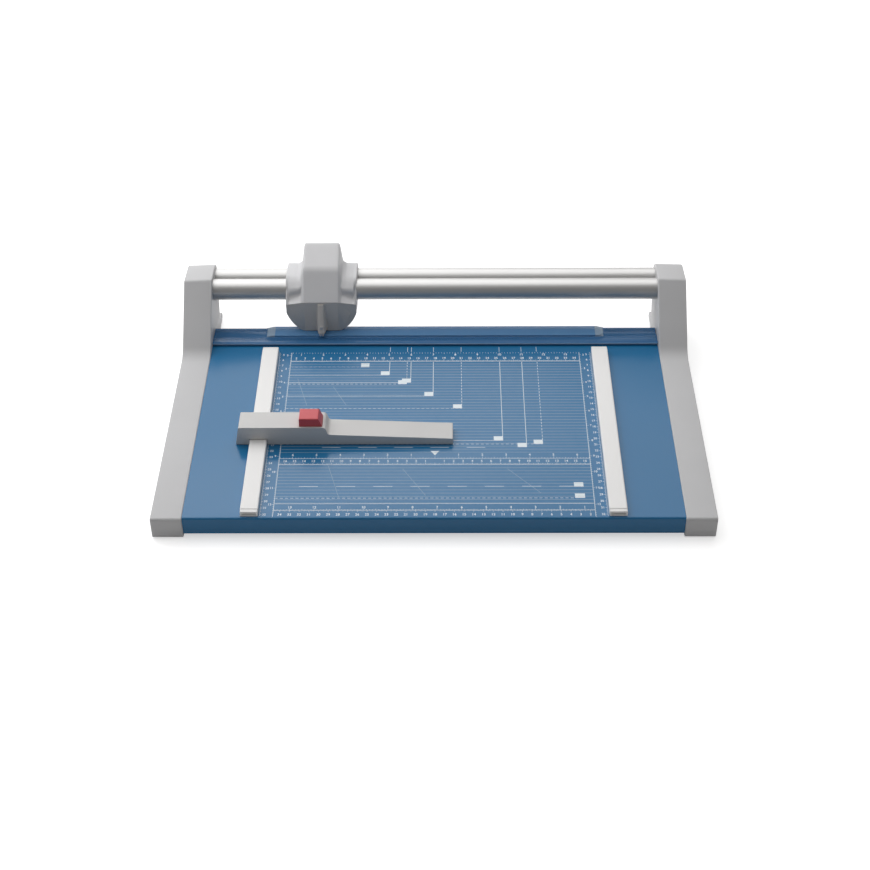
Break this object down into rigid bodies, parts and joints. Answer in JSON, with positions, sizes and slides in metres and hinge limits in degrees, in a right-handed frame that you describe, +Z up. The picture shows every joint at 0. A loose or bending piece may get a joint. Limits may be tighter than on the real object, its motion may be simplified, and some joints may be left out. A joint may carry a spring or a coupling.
{
  "type": "rotary paper trimmer",
  "caption": "Rotary paper trimmer with a blue printed steel table, grey end frames, a cutting head on two guide tubes, a clear clamp strip and a sliding backstop with a red button.",
  "frame": {"origin": "centre of the whole object's bounding box on the plane the rubber feet stand on", "axes": "X along the cut from the user's left to right, Y away from the user, Z up"},
  "size_m": [0.583, 0.388, 0.1111],
  "materials": {
    "table_paint": "satin printed enamel",
    "beam_steel": "zinc plated",
    "blade_steel": "ground",
    "screw_steel": "zinc plated",
    "frame_plastic": "fine spark texture",
    "foot_rubber": "matte",
    "tube_steel": "satin anodised",
    "dark_plastic": "plain",
    "stop_plastic": "semi-matte",
    "cap_plastic": "semi-matte",
    "spring_steel": "bright",
    "clear_strip": "clear extruded",
    "cover_plastic": "fine spark texture",
    "guard_plastic": "fine spark texture",
    "axle_steel": "turned",
    "foot_plastic": "plain",
    "hub_plastic": "plain",
    "backstop_plastic": "fine spark texture",
    "button_plastic": "satin",
    "shoe_rubber": "matte"
  },
  "bodies": {
    "base": {"table_top": "table_paint", "rear_beam": "beam_steel", "counter_blade": "blade_steel", "counter_screws": "screw_steel", "left_end_frame": "frame_plastic", "right_end_frame": "frame_plastic", "table_screws": "screw_steel", "rubber_feet": "foot_rubber", "front_guide_tube": "tube_steel", "rear_guide_tube": "tube_steel", "tube_plugs": "dark_plastic", "tube_screws": "screw_steel", "left_side_stop": "stop_plastic", "right_side_stop": "stop_plastic", "stop_end_caps": "cap_plastic", "stop_screws": "screw_steel", "clamp_springs": "spring_steel"},
    "clamp": {"clamp_strip": "clear_strip"},
    "head": {"head_cover": "cover_plastic", "blade_guard": "guard_plastic", "carriage": "dark_plastic", "guard_screws": "screw_steel", "cover_screws": "screw_steel", "blade_axle": "axle_steel", "blade_spring": "spring_steel", "presser_foot": "foot_plastic"},
    "blade": {"cutting_disc": "blade_steel", "blade_hub": "hub_plastic", "blade_nut": "hub_plastic"},
    "backstop": {"backstop_arm": "backstop_plastic", "backstop_base": "dark_plastic", "backstop_screws": "screw_steel", "button_spring": "spring_steel"},
    "button": {"stop_button": "button_plastic"},
    "lock": {"lock_shoe": "shoe_rubber"}
  },
  "joints": [
    {"name": "head_slide", "type": "slide", "parent": "base", "child": "head", "axis": [1, 0, 0], "range_m": [-0.084, 0.348]},
    {"name": "blade_spin", "type": "hinge", "parent": "head", "child": "blade", "pos_m": [-0.1322, 0.1348, 0.047], "axis": [0, 1, 0], "continuous": true},
    {"name": "clamp_press", "type": "slide", "parent": "base", "child": "clamp", "axis": [0, 0, 1], "range_m": [-0.0013, 0], "stiffness_N_per_m": 600, "springref_m": 0.002, "deforming": ["clamp_springs"]},
    {"name": "backstop_slide", "type": "slide", "parent": "base", "child": "backstop", "axis": [0, 1, 0], "range_m": [-0.107, 0.146]},
    {"name": "button_press", "type": "slide", "parent": "backstop", "child": "button", "axis": [0, 0, -1], "range_m": [0, 0.0025], "stiffness_N_per_m": 800, "springref_m": -0.001, "deforming": ["button_spring"]},
    {"name": "lock_release", "type": "slide", "parent": "backstop", "child": "lock", "axis": [1, 0, 0], "range_m": [0, 0.0012]}
  ],
  "couplings": [
    {"joint": "blade_spin", "follows": "head_slide", "rad_per_m": 44.444},
    {"joint": "lock_release", "follows": "button_press", "ratio": 0.48}
  ]
}
